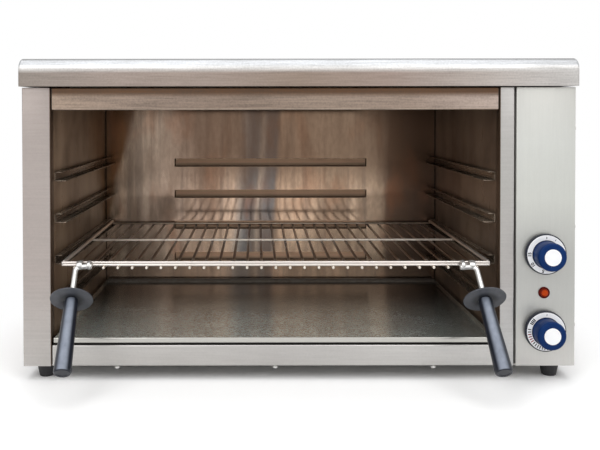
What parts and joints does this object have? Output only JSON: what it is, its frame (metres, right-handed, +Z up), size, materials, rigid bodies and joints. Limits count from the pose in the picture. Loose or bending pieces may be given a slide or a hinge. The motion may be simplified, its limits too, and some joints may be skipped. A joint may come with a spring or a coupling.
{
  "type": "cheese melter",
  "caption": "Open-fronted electric salamander grill in brushed steel, with a pull-out wire rack on two handles, side runners, a crumb tray, a timer knob, a thermostat knob and a pilot lamp.",
  "frame": {"origin": "on the floor under the middle of the whole object's box, handles and cable gland included", "axes": "+X to the right along the front, +Y into the cabinet from the open front, +Z up"},
  "size_m": [0.6876, 0.499, 0.3975],
  "materials": {
    "left_side_panel": "brushed stainless steel, grain across",
    "right_side_panel": "brushed stainless steel, grain across",
    "control_panel": "brushed stainless steel, grain across",
    "bay_divider": "brushed stainless steel, grain across",
    "front_lintel": "brushed stainless steel, slightly heat-tinted",
    "bottom_rail": "brushed stainless steel, grain across",
    "back_panel": "brushed stainless steel, grain across",
    "base_plate": "brushed stainless steel, grain across",
    "top_cover": "brushed stainless steel, grain across",
    "left_liner": "heat-tinted stainless steel, dark brown",
    "right_liner": "heat-tinted stainless steel, dark brown",
    "back_liner": "heat-tinted stainless steel with upright streaks",
    "ceiling_reflector": "heat-tinted stainless steel, dark brown",
    "liner_floor": "brushed stainless steel",
    "top_insulation": "mineral wool blanket",
    "back_insulation": "mineral wool blanket",
    "left_insulation": "mineral wool blanket",
    "bay_insulation": "mineral wool blanket",
    "left_runners": "heat-tinted stainless steel",
    "right_runners": "heat-tinted stainless steel",
    "front_element": "oxidised sheath, matt dark grey",
    "rear_element": "oxidised sheath, matt dark grey",
    "element_brackets": "zinc-plated steel",
    "element_bushes": "zinc-plated steel",
    "thermostat_body": "plated steel case",
    "thermostat_bulb": "bright drawn tube",
    "thermostat_capillary": "bright drawn tube",
    "bulb_clips": "zinc-plated steel",
    "timer_body": "moulded case",
    "lamp_body": "dark red moulded rim",
    "lamp_lens": "translucent orange-red",
    "terminal_block": "ceramic",
    "wiring": "heat-proof sleeving",
    "cable_gland": "black nylon",
    "gland_locknut": "black nylon",
    "rack_frame": "bright wire, dulled by heat",
    "rack_bars": "bright wire, dulled by heat",
    "left_handle_rod": "bright wire, dulled by heat",
    "left_handle_guard": "dark grey heat-proof plastic",
    "left_handle_grip": "black heat-proof plastic, satin",
    "right_handle_rod": "bright wire, dulled by heat",
    "right_handle_guard": "dark grey heat-proof plastic",
    "right_handle_grip": "black heat-proof plastic, satin",
    "crumb_tray": "brushed stainless steel",
    "timer_shaft": "turned steel",
    "timer_knob": "blue moulded plastic",
    "timer_dial": "white printed plastic",
    "timer_cap": "white printed plastic",
    "thermostat_shaft": "turned steel",
    "thermostat_knob": "blue moulded plastic",
    "thermostat_dial": "white printed plastic",
    "thermostat_cap": "white printed plastic",
    "feet": "black rubber",
    "foot_studs": "plated steel",
    "foot_nuts": "plated steel",
    "cover_screws": "plated steel",
    "cover_spacers": "plated steel",
    "casing_screws": "plated steel",
    "rail_screws": "plated steel",
    "control_screws": "plated steel"
  },
  "bodies": {
    "cabinet": {"left_side_panel": "left_side_panel", "right_side_panel": "right_side_panel", "control_panel": "control_panel", "bay_divider": "bay_divider", "front_lintel": "front_lintel", "bottom_rail": "bottom_rail", "back_panel": "back_panel", "base_plate": "base_plate", "top_cover": "top_cover", "left_liner": "left_liner", "right_liner": "right_liner", "back_liner": "back_liner", "ceiling_reflector": "ceiling_reflector", "liner_floor": "liner_floor", "top_insulation": "top_insulation", "back_insulation": "back_insulation", "left_insulation": "left_insulation", "bay_insulation": "bay_insulation", "left_runners": "left_runners", "right_runners": "right_runners", "front_element": "front_element", "rear_element": "rear_element", "element_brackets": "element_brackets", "element_bushes": "element_bushes", "thermostat_body": "thermostat_body", "thermostat_bulb": "thermostat_bulb", "thermostat_capillary": "thermostat_capillary", "bulb_clips": "bulb_clips", "timer_body": "timer_body", "lamp_body": "lamp_body", "lamp_lens": "lamp_lens", "terminal_block": "terminal_block", "wiring": "wiring", "cable_gland": "cable_gland", "gland_locknut": "gland_locknut", "feet": "feet", "foot_studs": "foot_studs", "foot_nuts": "foot_nuts", "cover_screws": "cover_screws", "cover_spacers": "cover_spacers", "casing_screws": "casing_screws", "rail_screws": "rail_screws", "control_screws": "control_screws"},
    "rack": {"rack_frame": "rack_frame", "rack_bars": "rack_bars", "left_handle_rod": "left_handle_rod", "left_handle_guard": "left_handle_guard", "left_handle_grip": "left_handle_grip", "right_handle_rod": "right_handle_rod", "right_handle_guard": "right_handle_guard", "right_handle_grip": "right_handle_grip"},
    "crumb_tray_body": {"crumb_tray": "crumb_tray"},
    "timer_control": {"timer_shaft": "timer_shaft", "timer_knob": "timer_knob", "timer_dial": "timer_dial", "timer_cap": "timer_cap"},
    "thermostat_control": {"thermostat_shaft": "thermostat_shaft", "thermostat_knob": "thermostat_knob", "thermostat_dial": "thermostat_dial", "thermostat_cap": "thermostat_cap"}
  },
  "joints": [
    {"name": "rack_slide", "type": "slide", "parent": "cabinet", "child": "rack", "axis": [0, -1, 0], "range_m": [0, 0.345]},
    {"name": "crumb_tray_slide", "type": "slide", "parent": "cabinet", "child": "crumb_tray_body", "axis": [0, -1, 0], "range_m": [0, 0.055]},
    {"name": "timer_turn", "type": "hinge", "parent": "cabinet", "child": "timer_control", "pos_m": [0.302, -0.14948, 0.157], "axis": [0, 1, 0], "range_deg": [0, 300]},
    {"name": "thermostat_turn", "type": "hinge", "parent": "cabinet", "child": "thermostat_control", "pos_m": [0.302, -0.14948, 0.0624], "axis": [0, 1, 0], "range_deg": [0, 270]}
  ]
}
